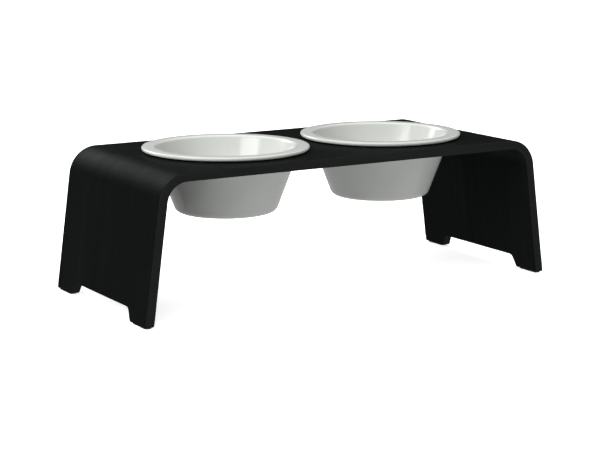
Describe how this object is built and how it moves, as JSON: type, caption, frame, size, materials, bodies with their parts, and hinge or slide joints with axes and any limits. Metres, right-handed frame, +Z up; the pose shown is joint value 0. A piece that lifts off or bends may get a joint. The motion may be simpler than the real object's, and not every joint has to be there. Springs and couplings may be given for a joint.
{
  "type": "dog feeding station",
  "caption": "Low bench of black-stained moulded plywood on splayed legs, with lift-out white porcelain bowls that hang by their rims at a raised feeding height.",
  "frame": {"origin": "on the floor, under the middle of the bench (underside of the foot pads)", "axes": "+X along the bench from the left bowl to the right bowl, -Y to the front, +Z up"},
  "size_m": [0.5588, 0.239, 0.178],
  "materials": {
    "stained_face_veneer": "black stain under satin lacquer, open grain",
    "stained_core_veneer": "black stained edge, matt",
    "white_porcelain": "gloss glaze",
    "bumper_silicone": "matt",
    "foot_pad_rubber": "matt, fine texture"
  },
  "bodies": {
    "bench": {"outer_face_veneer": "stained_face_veneer", "core_ply_1": "stained_core_veneer", "core_ply_2": "stained_core_veneer", "core_ply_3": "stained_core_veneer", "core_ply_4": "stained_core_veneer", "core_ply_5": "stained_core_veneer", "core_ply_6": "stained_core_veneer", "core_ply_7": "stained_core_veneer", "inner_face_veneer": "stained_face_veneer", "front_left_foot_pad": "foot_pad_rubber", "front_right_foot_pad": "foot_pad_rubber", "rear_left_foot_pad": "foot_pad_rubber", "rear_right_foot_pad": "foot_pad_rubber", "left_bowl_bumper_1": "bumper_silicone", "left_bowl_bumper_2": "bumper_silicone", "left_bowl_bumper_3": "bumper_silicone", "left_bowl_bumper_4": "bumper_silicone", "right_bowl_bumper_1": "bumper_silicone", "right_bowl_bumper_2": "bumper_silicone", "right_bowl_bumper_3": "bumper_silicone", "right_bowl_bumper_4": "bumper_silicone"},
    "left_bowl": {"left_bowl": "white_porcelain"},
    "right_bowl": {"right_bowl": "white_porcelain"}
  },
  "joints": [
    {"name": "left_bowl_lift", "type": "slide", "parent": "bench", "child": "left_bowl", "axis": [0, 0, 1], "range_m": [0, 0.09]},
    {"name": "right_bowl_lift", "type": "slide", "parent": "bench", "child": "right_bowl", "axis": [0, 0, 1], "range_m": [0, 0.09]}
  ]
}
